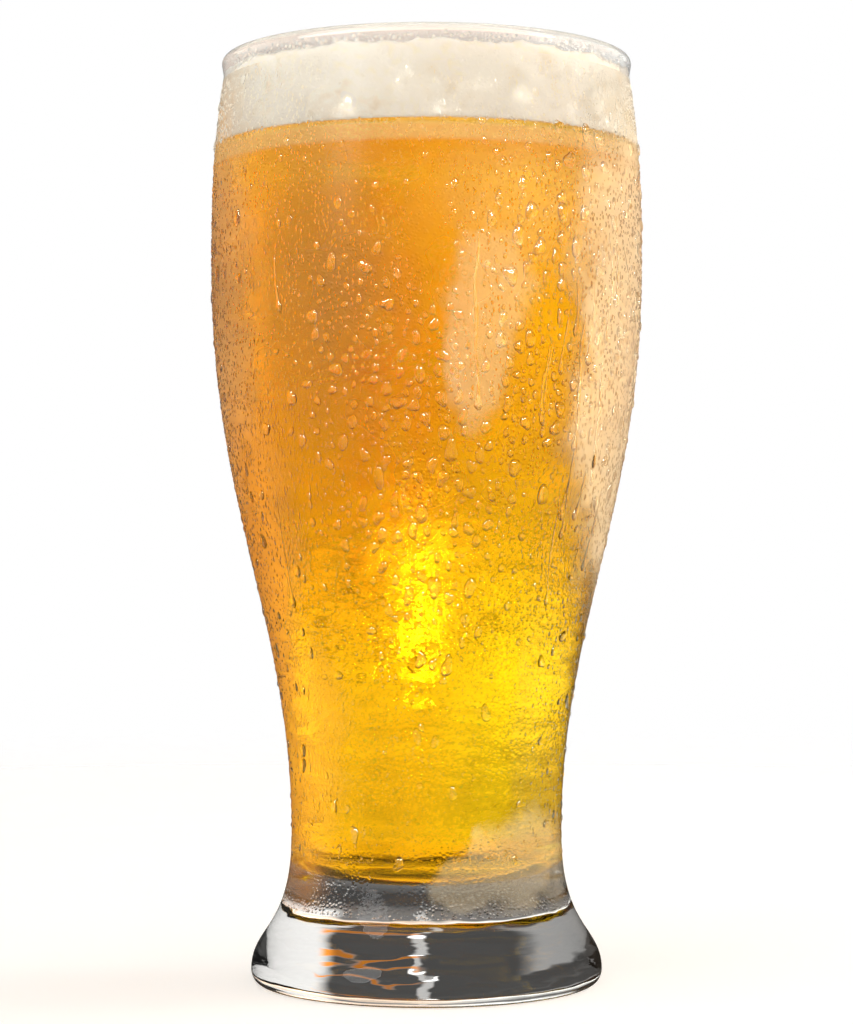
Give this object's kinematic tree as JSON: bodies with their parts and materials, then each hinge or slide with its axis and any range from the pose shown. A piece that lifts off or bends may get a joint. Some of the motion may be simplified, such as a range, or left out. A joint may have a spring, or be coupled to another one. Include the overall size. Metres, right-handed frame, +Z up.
{
  "type": "pint of beer",
  "caption": "Tall pub glass with a narrow waist and a flared solid foot, filled with golden beer under a head of foam.",
  "frame": {"origin": "centre of the foot, on the surface the glass stands on", "axes": "+Z up along the axis of the glass, -Y towards the viewer of the picture, +X to that viewer's right"},
  "size_m": [0.0842, 0.0842, 0.18],
  "materials": {
    "clear_glass": "clear, cold and misted with condensation on the outside",
    "beer": "clear golden liquid",
    "foam": "matte cream-white froth"
  },
  "bodies": {
    "root": {"glass": "clear_glass", "beer": "beer", "foam": "foam"}
  },
  "joints": []
}
